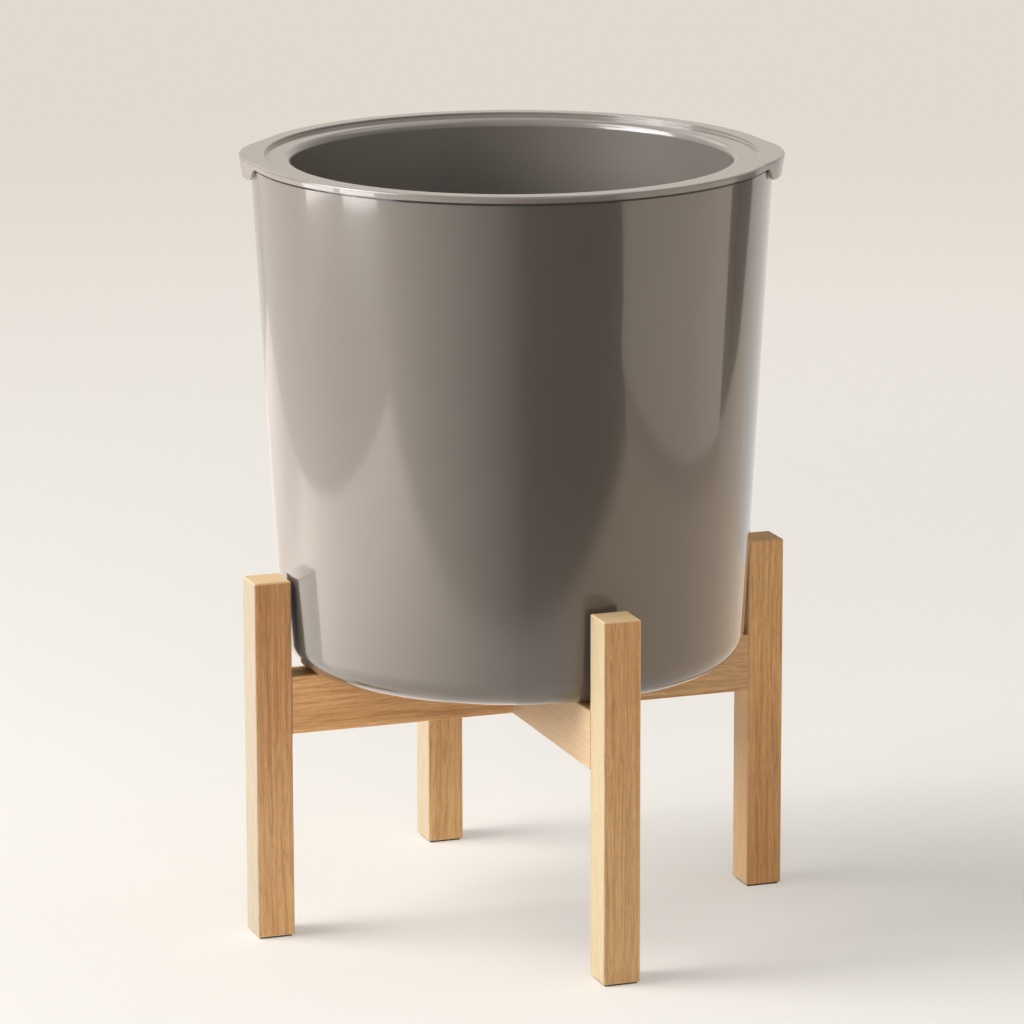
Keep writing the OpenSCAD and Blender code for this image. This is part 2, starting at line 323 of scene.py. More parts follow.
def make_liner():
    """The liner: bucket, centring collar, and a flange with lugs that rests on the pot's rim."""
    floor_z = LINER_BASE_Z + LINER_WALL
    inner_base_r = cone_r(MOUTH_R, LEDGE_Z, LINER_TAPER, floor_z)
    outer_base_r = cone_r(MOUTH_R + LINER_WALL, LEDGE_Z, LINER_TAPER, LINER_BASE_Z)
    outer_top_r = cone_r(MOUTH_R + LINER_WALL, LEDGE_Z, LINER_TAPER, POT_RIM_Z)
    collar_r = POT_RIM_R - POT_WALL - COLLAR_GAP
    seat_r = POT_RIM_R - POT_WALL + SEAT_W
    bm = turned(
        [
            (FLAT_FLOOR_R, LINER_BASE_Z, 0),
            (outer_base_r, LINER_BASE_Z, LINER_CORNER_R),
            (outer_top_r, POT_RIM_Z, NECK_EDGE_R),
            (collar_r - COLLAR_W, POT_RIM_Z, NECK_EDGE_R),
            (collar_r - COLLAR_W, POT_RIM_Z - COLLAR_H, COLLAR_EDGE_R),
            (collar_r, POT_RIM_Z - COLLAR_H, COLLAR_EDGE_R),
            (collar_r, POT_RIM_Z, 0),
            (seat_r, POT_RIM_Z, 0),
            (seat_r, BAND_Z, 0),
            (SKIRT_IN_R, BAND_Z, 0),
            (SKIRT_IN_R, LIP_BOTTOM_Z, SKIRT_INNER_EDGE_R),
            (FLANGE_R, LIP_BOTTOM_Z, SKIRT_EDGE_R),
            (FLANGE_R, FLANGE_TOP_Z, FLANGE_EDGE_R),
            (CREST_R, FLANGE_TOP_Z, CREST_EDGE_R),
            (CREST_R, LEDGE_Z, CREST_EDGE_R),
            (MOUTH_R, LEDGE_Z, MOUTH_EDGE_R),
            (inner_base_r, floor_z, LINER_CORNER_R - LINER_WALL),
            (FLAT_FLOOR_R, floor_z, 0),
        ],
        LUG_TURN_STEPS,
    )
    floor_with_drains(bm, floor_z)
    shape_lugs(bm)
    place_on_pot_axis(bm)
    return finished(bm, "liner_shell")


# ---------------------------------------------------------------- materials


def new_material(name):
    """A node material with its plain Principled shader, its nodes and its links."""
    material = bpy.data.materials.new(name)
    material.use_nodes = True
    return material, material.node_tree.nodes, material.node_tree.links


def noise(nodes, links, vector, scale, detail, name, roughness=0.5):
    """Fractal noise over a vector."""
    node = nodes.new("ShaderNodeTexNoise")
    node.name = name
    node.inputs["Scale"].default_value = scale
    node.inputs["Detail"].default_value = detail
    node.inputs["Roughness"].default_value = roughness
    links.new(vector, node.inputs["Vector"])
    return node.outputs["Fac"]


def math_node(nodes, links, operation, *values):
    """Result of an operation on numbers and sockets."""
    node = nodes.new("ShaderNodeMath")
    node.operation = operation
    for socket, value in zip(node.inputs, values):
        if isinstance(value, (int, float)):
            socket.default_value = value
        else:
            links.new(value, socket)
    return node.outputs[0]


def vector_node(nodes, links, operation, *values):
    """Result of an operation on tuples and sockets."""
    node = nodes.new("ShaderNodeVectorMath")
    node.operation = operation
    for socket, value in zip(node.inputs, values):
        if isinstance(value, tuple):
            socket.default_value = value
        else:
            links.new(value, socket)
    return node.outputs[0]


def ramp(nodes, links, value, stops):
    """Colour ramp through stops of (place, colour)."""
    node = nodes.new("ShaderNodeValToRGB")
    elements = node.color_ramp.elements
    while len(elements) < len(stops):
        elements.new(0.5)
    for element, (place, colour) in zip(elements, stops):
        element.position = place
        element.color = (*colour, 1)
    links.new(value, node.inputs["Fac"])
    return node.outputs["Color"]


def mix(nodes, links, kind, factor, a, b):
    """Blend of b over a, each of them a colour, a shade or a socket."""
    node = nodes.new("ShaderNodeMix")
    node.data_type = "RGBA"
    node.blend_type = kind
    for socket, value in ((node.inputs[0], factor), (node.inputs[6], a), (node.inputs[7], b)):
        if isinstance(value, (int, float)):
            socket.default_value = value
        elif isinstance(value, tuple):
            socket.default_value = (*value, 1)
        else:
            links.new(value, socket)
    return node.outputs[2]


def smooth_step(nodes, links, value, reach, result):
    """Runs smoothly from the first to the second result while value crosses reach."""
    node = nodes.new("ShaderNodeMapRange")
    node.interpolation_type = "SMOOTHSTEP"
    node.inputs["From Min"].default_value, node.inputs["From Max"].default_value = reach
    node.inputs["To Min"].default_value, node.inputs["To Max"].default_value = result
    links.new(value, node.inputs["Value"])
    return node.outputs["Result"]


def bump(nodes, links, height, strength, distance):
    """Normals of a relief that is distance metres deep."""
    node = nodes.new("ShaderNodeBump")
    node.inputs["Strength"].default_value = strength
    node.inputs["Distance"].default_value = distance
    links.new(height, node.inputs["Height"])
    return node.outputs["Normal"]


# Plastic: scales of its cloudy tones, its haze and its orange peel, and how strongly they show
CLOUD_SCALE = 9
HAZE_SCALE = 40
HAZE_ROUGHNESS = 0.06
PEEL_SCALE = 260
PEEL_STRENGTH = 0.03
PEEL_DEPTH = 0.0004
COAT_ROUGHNESS = 0.06
COAT_IOR = 1.6
PLASTIC_IOR = 1.5
# Painted shade on the pot's rim top: how dark it is, and the height over which it sets in
SEAM_SHADE_LIGHTNESS = 0.06
SEAM_SHADE_BLEND = 0.1


def glossy_plastic(name, deep, pale, roughness, seam_shade_z=None):
    """Warm grey moulded plastic with a high-gloss coat: deep and pale are its cloudy tones.

    A height may be given last, in millimetres, above which the plastic is painted dark: a painted
    shade.
    """
    material, nodes, links = new_material(name)
    shader = nodes["Principled BSDF"]
    place = nodes.new("ShaderNodeTexCoord").outputs["Object"]
    cloud = noise(nodes, links, place, CLOUD_SCALE, 3, "cloud")
    colour = ramp(nodes, links, cloud, [(0.3, deep), (0.7, pale)])
    # Painted shade: above that height the plastic is darkened to stand for the shade in the seam
    if seam_shade_z:
        height = nodes.new("ShaderNodeSeparateXYZ")
        links.new(place, height.inputs[0])
        reach = ((seam_shade_z - SEAM_SHADE_BLEND) * MM, seam_shade_z * MM)
        painted_seam_shade = smooth_step(nodes, links, height.outputs["Z"], reach, (1, SEAM_SHADE_LIGHTNESS))
        colour = mix(nodes, links, "MULTIPLY", 1, colour, painted_seam_shade)
    links.new(colour, shader.inputs["Base Color"])
    haze = noise(nodes, links, place, HAZE_SCALE, 4, "haze")
    rough = math_node(nodes, links, "MULTIPLY_ADD", haze, HAZE_ROUGHNESS, roughness)
    links.new(rough, shader.inputs["Roughness"])
    peel = noise(nodes, links, place, PEEL_SCALE, 2, "peel")
    relief = bump(nodes, links, peel, PEEL_STRENGTH, PEEL_DEPTH)
    links.new(relief, shader.inputs["Normal"])
    shader.inputs["Coat Weight"].default_value = 1
    shader.inputs["Coat Roughness"].default_value = COAT_ROUGHNESS
    shader.inputs["Coat IOR"].default_value = COAT_IOR
    shader.inputs["IOR"].default_value = PLASTIC_IOR
    return material


# Oak: its tones
OAK_LIGHT = (0.72, 0.43, 0.20)
OAK_WARM = (0.60, 0.335, 0.14)
OAK_DARK = (0.40, 0.19, 0.07)
PORE_COLOUR = (0.30, 0.13, 0.045)
# Painted light laid on the end faces
END_LIGHT_COLOUR = (0.78, 0.56, 0.30)
RING_TONES = [
    (0.0, OAK_WARM), (0.16, OAK_DARK), (0.42, OAK_WARM), (0.75, OAK_LIGHT), (1.0, OAK_WARM),
]
FIBRE_TONES = [(0.3, OAK_DARK), (0.5, OAK_WARM), (0.7, OAK_LIGHT)]
STREAK_TONES = [(0.34, (0.80, 0.68, 0.56)), (0.5, (1.05, 1.05, 1.06))]
PORE_TONES = [(0.58, (0, 0, 0)), (0.70, (1, 1, 1))]
CALM_TONES = [(0.3, (0.88, 0.82, 0.74)), (0.6, (1.04, 1.04, 1.05))]

# Oak: its patterns, each the share of a place kept along the grain, scale, detail, roughness
WANDER = (0.12, 0.045, 3, 0.5)
SPREAD = (0.01, 0.22, 2, 0.5)
FIBRES = (0.03, 1.9, 4, 0.65)
STREAKS = (0.02, 0.6, 4, 0.6)
PORES = (0.07, 2.8, 1, 0.5)

# Oak: how much its fibres, streaks, pores and calmer sides show
FIBRE_SHARE = 0.72
STREAK_SHARE = 0.8
PORE_SHARE = 0.3
SIDE_SHARE = 0.8

# Oak: millimetres between its growth rings, how far they wander, and how unevenly they lie
RING_W = 4.3
RING_WANDER = 11
RING_SPREAD = 2.2

# Oak: roughness between its fibres and how it falls on them, and the relief of the grain
OAK_ROUGHNESS = 0.66
FIBRE_ROUGHNESS = -0.12
GRAIN_STRENGTH = 0.35
GRAIN_DEPTH = 0.00015


def grain_noise(nodes, links, place, pattern, name):
    """Noise after a pattern that is long along the grain."""
    share, scale, detail, roughness = pattern
    kept = vector_node(nodes, links, "MULTIPLY", place, (share, 1, 1))
    return noise(nodes, links, kept, scale, detail, name, roughness)


def growth_rings(nodes, links, place):
    """The place shifted by the rings' wandering along the grain, and its share of a ring."""
    grain_noise(nodes, links, place, WANDER, "wander")
    wander = nodes["wander"].outputs["Color"]
    drift = vector_node(nodes, links, "SUBTRACT", wander, (0.5, 0.5, 0.5))
    drift = vector_node(nodes, links, "MULTIPLY", drift, (0, RING_WANDER, RING_WANDER))
    bent = vector_node(nodes, links, "ADD", place, drift)
    across = vector_node(nodes, links, "MULTIPLY", bent, (0, 1, 1))
    radius = nodes.new("ShaderNodeVectorMath")
    radius.operation = "LENGTH"
    links.new(across, radius.inputs[0])
    spread = grain_noise(nodes, links, bent, SPREAD, "spread")
    ring = math_node(nodes, links, "MULTIPLY", radius.outputs["Value"], 1 / RING_W)
    ring = math_node(nodes, links, "MULTIPLY_ADD", spread, RING_SPREAD, ring)
    return bent, math_node(nodes, links, "FRACT", ring)


def oak(name, turn, pith, span, tints_and_light, side_tones_and_light, painted_end_light):
    """Straight-grained oak, with turn to lay its grain along X and pith as the ring centre.

    span is where the piece starts and stops along the grain, in millimetres. Its tint at either
    end, partly its own tone and partly painted light, makes it as light or dark there as it is
    lit. The shades of its faces towards -X and towards +X are partly painted light too, and the
    last argument is how much painted light its end faces get.
    """
    material, nodes, links = new_material(name)
    shader = nodes["Principled BSDF"]
    mapping = nodes.new("ShaderNodeMapping")
    mapping.inputs["Rotation"].default_value = turn
    mapping.inputs["Location"].default_value = pith
    mapping.inputs["Scale"].default_value = (1 / MM, 1 / MM, 1 / MM)
    coordinates = nodes.new("ShaderNodeTexCoord")
    links.new(coordinates.outputs["Object"], mapping.inputs["Vector"])
    place = mapping.outputs["Vector"]

    # Rings, and fibres, streaks and pores that are long along the grain
    bent, ring = growth_rings(nodes, links, place)
    fibre = grain_noise(nodes, links, bent, FIBRES, "fibre")
    streak = grain_noise(nodes, links, bent, STREAKS, "streak")
    pore = ramp(nodes, links, grain_noise(nodes, links, bent, PORES, "pore"), PORE_TONES)
    ring_colour = ramp(nodes, links, ring, RING_TONES)
    fibre_colour = ramp(nodes, links, fibre, FIBRE_TONES)
    colour = mix(nodes, links, "MIX", FIBRE_SHARE, ring_colour, fibre_colour)
    streak_colour = ramp(nodes, links, streak, STREAK_TONES)
    colour = mix(nodes, links, "MULTIPLY", STREAK_SHARE, colour, streak_colour)
    pore_depth = math_node(nodes, links, "MULTIPLY", pore, PORE_SHARE)
    colour = mix(nodes, links, "MIX", pore_depth, colour, PORE_COLOUR)

    # The plank's shade changes slowly from end to end, partly its own tone and partly painted
    # light
    lengthwise = nodes.new("ShaderNodeSeparateXYZ")
    links.new(place, lengthwise.inputs[0])
    reach = [end + pith[0] for end in span]
    share = smooth_step(nodes, links, lengthwise.outputs["X"], reach, (0, 1))
    tint = mix(nodes, links, "MIX", share, *tints_and_light)
    colour = mix(nodes, links, "MULTIPLY", 1, colour, tint)

    # Faces towards -X and +X are cut along the rays, so they are calmer; their shades are partly
    # painted light, set to how each piece's faces are lit
    facing = nodes.new("ShaderNodeSeparateXYZ")
    links.new(coordinates.outputs["Normal"], facing.inputs[0])
    sideways = math_node(nodes, links, "ABSOLUTE", facing.outputs["X"])
    pale = math_node(nodes, links, "MULTIPLY", sideways, SIDE_SHARE)
    calm = ramp(nodes, links, fibre, CALM_TONES)
    towards_plus_x = math_node(nodes, links, "GREATER_THAN", facing.outputs["X"], 0)
    side = mix(nodes, links, "MIX", towards_plus_x, *side_tones_and_light)
    calm = mix(nodes, links, "MULTIPLY", 1, calm, side)
    colour = mix(nodes, links, "MIX", pale, colour, calm)
    # Painted light: the end faces are made paler, by each piece's own amount
    upwards = math_node(nodes, links, "ABSOLUTE", facing.outputs["Z"])
    end_light_share = math_node(nodes, links, "MULTIPLY", upwards, painted_end_light)
    colour = mix(nodes, links, "MIX", end_light_share, colour, END_LIGHT_COLOUR)
    links.new(colour, shader.inputs["Base Color"])

    rough = math_node(nodes, links, "MULTIPLY_ADD", fibre, FIBRE_ROUGHNESS, OAK_ROUGHNESS)
    links.new(rough, shader.inputs["Roughness"])
    grain = math_node(nodes, links, "SUBTRACT", fibre, pore)
    relief = bump(nodes, links, grain, GRAIN_STRENGTH, GRAIN_DEPTH)
    links.new(relief, shader.inputs["Normal"])
    return material


# Felt: its tones, the scale and the relief of its hairs, and its surface
FELT_TONES = [(0.35, (0.018, 0.012, 0.008)), (0.7, (0.07, 0.05, 0.035))]
HAIR_SCALE = 1600
HAIR_STRENGTH = 0.8
HAIR_DEPTH = 0.0004
FELT_ROUGHNESS = 0.95
FELT_SHEEN = 0.3

# Steel: its tones, the scale of its stains, its roughness and what the stains add to it
STEEL_TONES = [(0.3, (0.42, 0.42, 0.44)), (0.7, (0.62, 0.62, 0.64))]
STAIN_SCALE = 500
STEEL_ROUGHNESS = 0.22
STAIN_ROUGHNESS = 0.2


def felt(name):
    """Dark brown felt."""
    material, nodes, links = new_material(name)
    shader = nodes["Principled BSDF"]
    place = nodes.new("ShaderNodeTexCoord").outputs["Object"]
    hair = noise(nodes, links, place, HAIR_SCALE, 4, "hair")
    colour = ramp(nodes, links, hair, FELT_TONES)
    links.new(colour, shader.inputs["Base Color"])
    relief = bump(nodes, links, hair, HAIR_STRENGTH, HAIR_DEPTH)
    links.new(relief, shader.inputs["Normal"])
    shader.inputs["Roughness"].default_value = FELT_ROUGHNESS
    shader.inputs["Sheen Weight"].default_value = FELT_SHEEN
    return material


def steel(name):
    """Plain steel with slightly stained tones."""
    material, nodes, links = new_material(name)
    shader = nodes["Principled BSDF"]
    place = nodes.new("ShaderNodeTexCoord").outputs["Object"]
    stain = noise(nodes, links, place, STAIN_SCALE, 4, "stain")
    colour = ramp(nodes, links, stain, STEEL_TONES)
    links.new(colour, shader.inputs["Base Color"])
    rough = math_node(nodes, links, "MULTIPLY_ADD", stain, STAIN_ROUGHNESS, STEEL_ROUGHNESS)
    links.new(rough, shader.inputs["Roughness"])
    shader.inputs["Metallic"].default_value = 1
    return material


def wear(node, material):
    """Gives a carried CAD node its finish."""
    for material_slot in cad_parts[node].material_slots:
        material_slot.material = material


# ---------------------------------------------------------------- pieces

# Tones and roughness of the two plastics; the liner's tones are lighter than the pot's, partly
# painted light for its lit flange and lugs
POT_TONES = ((0.095, 0.080, 0.066), (0.101, 0.085, 0.070))
POT_ROUGHNESS = 0.22
LINER_TONES_AND_LIGHT = ((0.168, 0.146, 0.126), (0.178, 0.155, 0.134))
LINER_ROUGHNESS = 0.3
# Height above which the pot's rim top is painted dark: a painted shade standing for the shaded
# seam under the flange
POT_SEAM_SHADE_Z = POT_RIM_Z - 0.6

pot = make_pot()
pot_gloss = glossy_plastic("pot_gloss", *POT_TONES, POT_ROUGHNESS, seam_shade_z=POT_SEAM_SHADE_Z)
pot.data.materials.append(pot_gloss)
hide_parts("pot")
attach(pot, "pot")

liner = make_liner()
liner_gloss = glossy_plastic("liner_gloss", *LINER_TONES_AND_LIGHT, LINER_ROUGHNESS)
liner.data.materials.append(liner_gloss)
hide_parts("liner")
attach(liner, "liner")

# Turns that lay a piece's grain along X, and where legs and rails start and end along it
UPRIGHT = (0, math.pi / 2, 0)
LENGTHWAYS = (0, 0, 0)
CROSSWAYS = (0, 0, -math.pi / 2)
LEG_SPAN = (0, 210)
RAIL_SPAN = (-140, 140)
AMBER_SIDE = (0.68, 0.47, 0.26)
# Node, turn, pith, span, the tint at either end and the shades of the two side faces, all partly
# painted light, and how much painted light the end faces get
WOOD = [
    ("leg_left", UPRIGHT, (310, 38, 190), LEG_SPAN,
     ((1.18, 1.24, 1.28), (0.95, 0.84, 0.75)), ((0.385, 0.37, 0.295), (0.385, 0.37, 0.295)), 0.9),
    ("leg_front", UPRIGHT, (1330, 178, -41), LEG_SPAN,
     ((1.04, 1.11, 1.17), (0.94, 0.89, 0.84)), ((0.55, 0.47, 0.30), AMBER_SIDE), 0.9),
    ("leg_right", UPRIGHT, (2420, -44, -120), LEG_SPAN,
     ((0.88, 0.82, 0.72), (1.04, 1.02, 0.93)), ((0.70, 0.48, 0.26), AMBER_SIDE), 0.1),
    ("leg_back", UPRIGHT, (3350, -190, 35), LEG_SPAN,
     ((1.12, 1.22, 1.22), (1.12, 1.22, 1.22)), ((0.48, 0.42, 0.30), AMBER_SIDE), 0.5),
    ("rail_long", LENGTHWAYS, (4100, 40, -95), RAIL_SPAN,
     ((1.26, 1.24, 1.20), (0.95, 1.01, 1.06)), ((0.60, 0.48, 0.30), AMBER_SIDE), 0),
    ("rail_cross", CROSSWAYS, (5200, 44, -70), RAIL_SPAN,
     ((1.03, 1.02, 1.00), (1.03, 1.02, 1.00)), ((0.63, 0.47, 0.29), AMBER_SIDE), 0),
]
for node, turn, pith, span, tints_and_light, side_tones_and_light, painted_end_light in WOOD:
    wear(node, oak("oak_" + node, turn, pith, span, tints_and_light, side_tones_and_light, painted_end_light))
BEECH = ((1.1, 1.1, 1.1), (1.1, 1.1, 1.1))
wear("dowels", oak("beech_dowels", UPRIGHT, (6000, 50, 50), LEG_SPAN, BEECH, BEECH, 0))
wear("rail_screw", steel("screw_steel"))
brown_felt = felt("brown_felt")
for leg in ("left", "front", "right", "back"):
    wear("foot_pad_" + leg, brown_felt)


# ---------------------------------------------------------------- studio

BACKDROP = (0.76, 0.70, 0.63)
FILL_COLOUR = (1, 0.965, 0.92)
FILL_STRENGTH = 0.05

# Camera, as it was solved from the photograph
CAMERA_AZIMUTH = math.radians(-19.66)
CAMERA_ELEVATION = math.radians(13.18)
CAMERA_ROLL = math.radians(-0.13)
CAMERA_DISTANCE = 3.2646
CAMERA_AIM = Vector((-2.52, 0.90, 237.2)) * MM
CAMERA_LENS = 199.08
CAMERA_SENSOR = 36
CAMERA_CLIP = (0.1, 60)


def studio(right, behind, up):
    """World place of a studio point, in metres as seen from the camera's side of the stand."""
    return Matrix.Rotation(CAMERA_AZIMUTH, 3, "Z") @ Vector((right, behind, up))


def seen_directly(nodes, links):
    """1 for rays from the camera and for those that gloss or glass sends on, else 0."""
    path = nodes.new("ShaderNodeLightPath")
    seen = math_node(
        nodes, links, "MAXIMUM", path.outputs["Is Camera Ray"], path.outputs["Is Glossy Ray"]
    )
    return math_node(nodes, links, "MAXIMUM", seen, path.outputs["Is Transmission Ray"])


# Lamps: name, studio place, aim, size in metres and power in watts
STAND_MIDDLE = (0, 0, 0.25)
LAMPS = [
    ("front", (0.4, -4, 1.6), STAND_MIDDLE, (2.4, 1.4), 35),
    ("front_left", (-3.55, -1.65, 1.85), STAND_MIDDLE, (1.9, 1.9), 84),
    ("left", (-2.6, 0, 3.2), STAND_MIDDLE, (2.1, 2.1), 84),
    ("left_low", (-3.88, -0.4, 1.85), STAND_MIDDLE, (1.9, 1.9), 86),
    ("back_left", (-1.05, 1.85, 1.75), STAND_MIDDLE, (1.2, 1.2), 4),
    ("top_right", (1, 0.5, 2.0), (1, 0.5, 0), (1.5, 1.5), 6),
    ("right_low", (1.05, -0.25, 0.4), (0, 0, 0.3), (1.0, 0.5), 3),
]
UNMIRRORED = ("front", "right_low")

# Floor: its size and paint, the colour it is shown with near the stand, and the share of that
# colour there. Both change over a distance from the stand's middle.
FLOOR_R = 16
FLOOR_STEPS = 96
FLOOR_PAINT = (0.88, 0.84, 0.78)
FLOOR_NEAR = (0.94, 0.91, 0.865)
FLOOR_OWN_SHARE = 0.33
FLOOR_OWN_REACH = (0.3, 2.0)
FLOOR_FADE_REACH = (0, 3)


def make_floor():
    """Pale floor whose far part is shown at the backdrop's own colour."""
    bm = bmesh.new()
    bmesh.ops.create_circle(bm, cap_ends=True, segments=FLOOR_STEPS, radius=FLOOR_R)
    mesh = bpy.data.meshes.new("floor")
    bm.to_mesh(mesh)
    bm.free()
    floor = bpy.data.objects.new("floor", mesh)
    bpy.context.scene.collection.objects.link(floor)
    material, nodes, links = new_material("pale_floor")
    shader = nodes["Principled BSDF"]
    shader.inputs["Base Color"].default_value = (*FLOOR_PAINT, 1)
    shader.inputs["Roughness"].default_value = 0.9
    shader.inputs["Specular IOR Level"].default_value = 0.1
    distance = nodes.new("ShaderNodeVectorMath")
    distance.operation = "LENGTH"
    links.new(nodes.new("ShaderNodeTexCoord").outputs["Object"], distance.inputs[0])
    far = distance.outputs["Value"]
    own = smooth_step(nodes, links, far, FLOOR_OWN_REACH, (FLOOR_OWN_SHARE, 1))
    share = math_node(nodes, links, "MULTIPLY", own, seen_directly(nodes, links))
    backdrop = nodes.new("ShaderNodeEmission")
    fade = smooth_step(nodes, links, far, FLOOR_FADE_REACH, (0, 1))
    links.new(mix(nodes, links, "MIX", fade, FLOOR_NEAR, BACKDROP), backdrop.inputs["Color"])
    blend = nodes.new("ShaderNodeMixShader")
    links.new(share, blend.inputs[0])
    links.new(shader.outputs[0], blend.inputs[1])
    links.new(backdrop.outputs[0], blend.inputs[2])
    links.new(blend.outputs[0], nodes["Material Output"].inputs["Surface"])
    mesh.materials.append(material)


def along(nodes, links, direction):
    """How far a point lies along a studio direction, in metres."""
    node = nodes.new("ShaderNodeVectorMath")
    node.operation = "DOT_PRODUCT"
    links.new(nodes.new("ShaderNodeTexCoord").outputs["Object"], node.inputs[0])
    node.inputs[1].default_value = studio(*direction)
    return node.outputs["Value"]


def graded(nodes, links, value, stops, tint=(1, 1, 1)):
    """Ramp of a tint through stops of (value, share), which may lie anywhere."""
    start, end = stops[0][0], stops[-1][0]
    place = math_node(nodes, links, "SUBTRACT", value, start)
    place = math_node(nodes, links, "DIVIDE", place, end - start)
    steps = [
        ((at - start) / (end - start), tuple(share * part for part in tint)) for at, share in stops
    ]
    return ramp(nodes, links, place, steps)


def make_card(name, corners, shade, tint=(1, 1, 1), cover=None, one_sided=False):
    """Studio card through its corners, which shows only in the gloss.

    cover is a studio direction and the reach along it in which the card goes from clear to full.
    A one-sided card is clear from behind.
    """
    bm = bmesh.new()
    bm.faces.new([bm.verts.new(studio(*corner)) for corner in corners])
    mesh = bpy.data.meshes.new(name)
    bm.to_mesh(mesh)
    bm.free()
    card = bpy.data.objects.new(name, mesh)
    bpy.context.scene.collection.objects.link(card)
    material, nodes, links = new_material(name)
    tone = nodes.new("ShaderNodeEmission")
    tone.inputs["Color"].default_value = (*tint, 1)
    tone.inputs["Strength"].default_value = shade
    shown = tone.outputs[0]
    if cover:
        direction, reach = cover
        blend = nodes.new("ShaderNodeMixShader")
        solid = smooth_step(nodes, links, along(nodes, links, direction), reach, (0, 1))
        links.new(solid, blend.inputs[0])
        links.new(nodes.new("ShaderNodeBsdfTransparent").outputs[0], blend.inputs[1])
        links.new(shown, blend.inputs[2])
        shown = blend.outputs[0]
    if one_sided:
        blend = nodes.new("ShaderNodeMixShader")
        links.new(nodes.new("ShaderNodeNewGeometry").outputs["Backfacing"], blend.inputs[0])
        links.new(shown, blend.inputs[1])
        links.new(nodes.new("ShaderNodeBsdfTransparent").outputs[0], blend.inputs[2])
        shown = blend.outputs[0]
    links.new(shown, nodes["Material Output"].inputs["Surface"])
    mesh.materials.append(material)
    card.visible_camera = False
    card.visible_diffuse = False
    card.visible_shadow = False
    return tone, nodes, links


CREAM = (1, 0.89, 0.81)
WARM = (1, 0.85, 0.71)

# Brightness of the graded cards: along the front card by how far left a point lies for its
# distance in front, and on the left by metres to the left and by metres behind the middle
FRONT_GLOW = [(-0.12, 0), (0.1, 0.24), (0.5, 0.53), (1.1, 0.82), (1.65, 0.95), (1.88, 1)]
OUTWARD_GLOW = [(0.05, 0.32), (0.3, 0.5), (0.5, 0.7), (0.7, 0.9), (0.9, 1)]
BACKWARD_GLOW = [(0.2, 1), (0.34, 0.92), (0.5, 0.62), (0.66, 0.5), (1.1, 0.44)]
WALL_GLOW = [(0.1, 0.96), (0.5, 0.76), (0.75, 0.66), (1.1, 0.58), (1.4, 0.5)]
LEAST_GLOW = 0.33


def fade_to_left(tone, nodes, links):
    """Lets a card in front of the stand grow lighter from its middle to its left end."""
    right = along(nodes, links, (1, 0, 0))
    behind = along(nodes, links, (0, 1, 0))
    slant = math_node(nodes, links, "DIVIDE", right, behind)
    links.new(graded(nodes, links, slant, FRONT_GLOW, CREAM), tone.inputs["Color"])


def glow_on_left(tone, nodes, links):
    """Lets the floor's glow on the left grow away from the stand and fade towards the back."""
    outward = graded(nodes, links, along(nodes, links, (-1, 0, 0)), OUTWARD_GLOW)
    backward = graded(nodes, links, along(nodes, links, (0, 1, 0)), BACKWARD_GLOW)
    glow = math_node(nodes, links, "MULTIPLY", outward, backward)
    glow = math_node(nodes, links, "MAXIMUM", glow, LEAST_GLOW)
    links.new(graded(nodes, links, glow, [(0, 0), (1, 1)], CREAM), tone.inputs["Color"])


def fade_to_back(tone, nodes, links):
    """Lets the left wall darken towards the back."""
    behind = along(nodes, links, (0, 1, 0))
    links.new(graded(nodes, links, behind, WALL_GLOW, CREAM), tone.inputs["Color"])


# Studio places of the left wall and of the windows just in front of it, the tops of the walls,
# and the feet of the upright cards. The level cards lie at heights of their own, so that no two
# of them coincide.
LEFT_WALL = -0.98
WINDOWS = -0.965
LEFT_TOP = 0.34
RIGHT_TOP = 0.5
CARD_FOOT = 0.001


def lying(height, *places):
    """Corners of a level card, from their studio places in metres."""
    return [(*place, height) for place in places]


def standing(start, end, low, high):
    """Corners of an upright card over a line on the floor."""
    return [(*start, low), (*end, low), (*end, high), (*start, high)]


def make_front_card():
    """The floor in front of the stand, bright on its left."""
    front = lying(0.0006, (-3, -0.6), (0.78, -0.6), (3, -3.2), (-3, -4))
    fade_to_left(*make_card("front_card", front, 2.0, cover=((0, -1, 0), (0.61, 0.73))))


def make_left_cards():
    """The floor and the wall on the left, and two bright windows just in front of that wall."""
    floor = lying(0.0004, (0, -0.75), (0, 1.4), (LEFT_WALL, 1.4), (LEFT_WALL, -0.75))
    glow_on_left(*make_card("left_floor_card", floor, 3.45))
    wall = standing((LEFT_WALL, -0.74), (LEFT_WALL, 1.4), CARD_FOOT, LEFT_TOP)
    fade_to_back(*make_card("left_card", wall, 2.0))
    left = standing((WINDOWS, 0.1), (WINDOWS, -0.215), 0.2, LEFT_TOP)
    make_card("left_window", left, 6.4, (1, 0.94, 0.89), ((0, 0.02, 1), (0.216, 0.231)))
    front = standing((WINDOWS, -0.27), (WINDOWS, -0.61), 0.1, LEFT_TOP)
    make_card("front_window", front, 7.8, (1, 0.97, 0.93), ((0, -0.127, 1), (0.2355, 0.2465)))


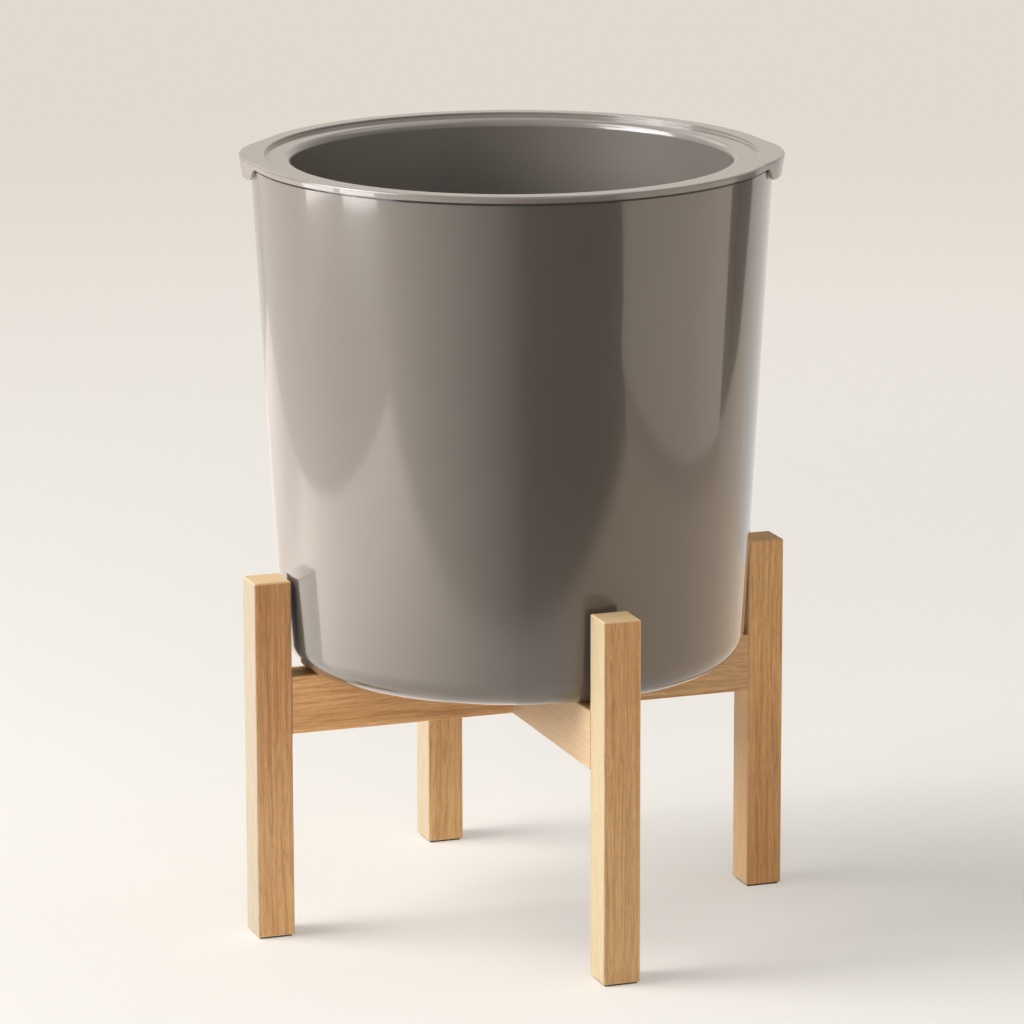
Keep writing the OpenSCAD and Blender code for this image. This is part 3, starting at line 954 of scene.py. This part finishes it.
def make_right_cards():
    """The floor on the right in three parts, the wall beyond it, and two dark flags."""
    near = lying(0.0004, (0.1, -0.75), (0.86, -0.79), (1.04, 0.36), (0.1, 0.9))
    make_card("right_floor_card", near, 1.0, (1, 0.78, 0.58), ((1, 0, 0), (0.1, 0.4)))
    far = lying(0.0003, (0.6, 0.62), (0.95, 0.36), (5, 0.36), (5, 3.4))
    make_card("right_back_card", far, 0.88, (1, 0.855, 0.71), ((0, -1, 0), (-3.2, -0.6)))
    edge = lying(0.0005, (0.78, -0.8), (0.94, -0.84), (1.1, 0.355), (0.94, 0.36))
    make_card("right_edge", edge, 0.6, (1, 0.76, 0.56), ((1, -0.134, 0), (0.89, 1.03)))
    wall = standing((0.94, -0.84), (1.1, 0.355), CARD_FOOT, RIGHT_TOP)
    make_card("right_card", wall, 1.15, WARM)
    flag = standing((1.11, 0.355), (1.22, 0.8), CARD_FOOT, RIGHT_TOP)
    make_card("right_flag", flag, 0.1, WARM)
    back_flag = standing((1.22, 0.8), (1.6, 1.32), CARD_FOOT, RIGHT_TOP)
    make_card("right_flag_back", back_flag, 0.1, WARM)


# How far the painted-reflection cards lie off the leg, and the height from which the front one
# covers it
VEIL_OFF = 0.3
VEIL_FROM = 100


def paint_leg_reflection():
    """Pale glowing cards just off the left leg's front and top, seen only in the gloss: a painted
    reflection, so that the pot mirrors the leg pale.
    """
    low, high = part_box("leg_left")
    to_studio = Matrix.Rotation(-CAMERA_AZIMUTH, 3, "Z")
    front_y = low.y - VEIL_OFF * MM
    top_z = high.z + VEIL_OFF * MM
    low_z = VEIL_FROM * MM
    front = [
        (low.x, front_y, low_z), (high.x, front_y, low_z),
        (high.x, front_y, high.z), (low.x, front_y, high.z),
    ]
    top = [
        (low.x, low.y, top_z), (high.x, low.y, top_z),
        (high.x, high.y, top_z), (low.x, high.y, top_z),
    ]
    front = [to_studio @ Vector(corner) for corner in front]
    top = [to_studio @ Vector(corner) for corner in top]
    make_card("leg_front_reflection_card", front, 1.42, (1, 0.92, 0.845), one_sided=True)
    make_card("leg_top_reflection_card", top, 1.78, (1, 0.87, 0.8), one_sided=True)


def make_lamp(name, place, aim, size, power):
    """Softbox at a world place that faces aim, in metres."""
    lamp = bpy.data.lights.new(name, "AREA")
    lamp.shape = "RECTANGLE"
    lamp.size, lamp.size_y = size
    lamp.energy = power
    holder = bpy.data.objects.new(name, lamp)
    holder.location = place
    holder.rotation_euler = (Vector(aim) - Vector(place)).to_track_quat("-Z", "Y").to_euler()
    holder.visible_glossy = name not in UNMIRRORED
    bpy.context.scene.collection.objects.link(holder)


def make_world():
    """Even soft light, with the pale backdrop where the camera or the gloss looks at it."""
    world = bpy.data.worlds.new("studio")
    world.use_nodes = True
    nodes, links = world.node_tree.nodes, world.node_tree.links
    fill = nodes["Background"]
    fill.inputs["Color"].default_value = (*FILL_COLOUR, 1)
    fill.inputs["Strength"].default_value = FILL_STRENGTH
    backdrop = nodes.new("ShaderNodeBackground")
    backdrop.inputs["Color"].default_value = (*BACKDROP, 1)
    blend = nodes.new("ShaderNodeMixShader")
    links.new(seen_directly(nodes, links), blend.inputs[0])
    links.new(fill.outputs[0], blend.inputs[1])
    links.new(backdrop.outputs[0], blend.inputs[2])
    links.new(blend.outputs[0], nodes["World Output"].inputs["Surface"])
    bpy.context.scene.world = world


def make_camera():
    """The photograph's own camera."""
    back = Vector((
        math.sin(CAMERA_AZIMUTH) * math.cos(CAMERA_ELEVATION),
        -math.cos(CAMERA_AZIMUTH) * math.cos(CAMERA_ELEVATION),
        math.sin(CAMERA_ELEVATION),
    ))
    level = back.to_track_quat("Z", "Y")
    camera = bpy.data.cameras.new("camera")
    camera.lens = CAMERA_LENS
    camera.sensor_width = CAMERA_SENSOR
    camera.clip_start, camera.clip_end = CAMERA_CLIP
    holder = bpy.data.objects.new("camera", camera)
    turn = level.to_matrix() @ Matrix.Rotation(CAMERA_ROLL, 3, "Z")
    holder.matrix_world = Matrix.Translation(CAMERA_AIM + back * CAMERA_DISTANCE) @ turn.to_4x4()
    bpy.context.scene.collection.objects.link(holder)
    bpy.context.scene.camera = holder


make_floor()
make_world()
make_front_card()
make_left_cards()
make_right_cards()
paint_leg_reflection()
for name, place, aim, size, power in LAMPS:
    make_lamp(name, studio(*place), studio(*aim), size, power)
make_camera()
bpy.context.scene.view_settings.view_transform = "Standard"
